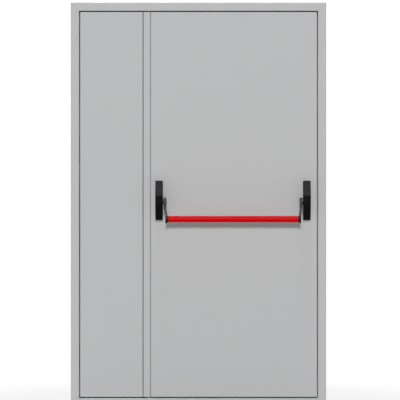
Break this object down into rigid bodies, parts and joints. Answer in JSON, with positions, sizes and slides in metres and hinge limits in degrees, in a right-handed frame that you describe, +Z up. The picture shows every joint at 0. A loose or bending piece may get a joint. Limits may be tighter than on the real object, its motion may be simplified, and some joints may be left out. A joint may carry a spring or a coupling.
{
  "type": "double fire exit door with a push bar",
  "caption": "Sheet steel fire exit door in its frame: a wide leaf with a crossbar push device beside a narrow leaf, both hinged on the outside and opening outwards.",
  "frame": {"origin": "middle of the threshold's underside, at the middle of the frame's depth", "axes": "+Z up, +X to the right for someone inside, and +Y outwards, the way the leaves open"},
  "size_m": [1.3, 0.2105, 2.05],
  "materials": {
    "frame_paint": "satin powder coat",
    "leaf_paint": "satin powder coat",
    "zinc": "zinc plated",
    "brass": "turned",
    "grey_plastic": "matt",
    "intumescent": "matt",
    "black_rubber": "matt",
    "grey_rubber": "matt",
    "black_plastic": "finely grained",
    "bearing": "smooth",
    "black_enamel": "satin",
    "red_paint": "gloss"
  },
  "bodies": {
    "frame": {"left_jamb": "frame_paint", "right_jamb": "frame_paint", "head": "frame_paint", "threshold": "frame_paint", "left_anchor_plates": "zinc", "right_anchor_plates": "zinc", "anchor_hole_plugs": "grey_plastic", "intumescent_strips": "intumescent", "frame_gasket": "black_rubber", "left_hinge_bases": "frame_paint", "right_hinge_bases": "frame_paint", "left_hinge_washers": "brass", "right_hinge_washers": "brass"},
    "inactive_leaf": {"inactive_inner_sheet": "leaf_paint", "inactive_outer_sheet": "leaf_paint", "meeting_stile": "leaf_paint", "groove_sealant": "grey_rubber", "inactive_hinge_knuckles": "leaf_paint", "inactive_meeting_seal": "grey_rubber", "strike_plate": "zinc", "flush_bolts": "zinc"},
    "active_leaf": {"active_inner_sheet": "leaf_paint", "active_outer_sheet": "leaf_paint", "active_hinge_knuckles": "leaf_paint", "active_meeting_seal": "grey_rubber", "lock_faceplate": "zinc", "lock_case": "zinc", "latch_side_base_plate": "zinc", "hinge_side_base_plate": "zinc", "latch_side_cover": "black_plastic", "hinge_side_cover": "black_plastic", "latch_side_bearing": "bearing", "hinge_side_bearing": "bearing"},
    "push_bar": {"latch_side_lever": "black_enamel", "hinge_side_lever": "black_enamel", "crossbar": "red_paint"}
  },
  "joints": [
    {"name": "active_leaf_swing", "type": "hinge", "parent": "frame", "child": "active_leaf", "pos_m": [0.624, 0.0435, 1.022], "axis": [0, 0, -1], "range_deg": [0, 180]},
    {"name": "inactive_leaf_swing", "type": "hinge", "parent": "frame", "child": "inactive_leaf", "pos_m": [-0.624, 0.0435, 1.022], "axis": [0, 0, 1], "range_deg": [0, 180]},
    {"name": "push_bar_swing", "type": "hinge", "parent": "active_leaf", "child": "push_bar", "pos_m": [0.175, -0.061, 1.04], "axis": [1, 0, 0], "range_deg": [0, 30], "stiffness_Nm_per_rad": 10, "springref_deg": -17.19}
  ]
}
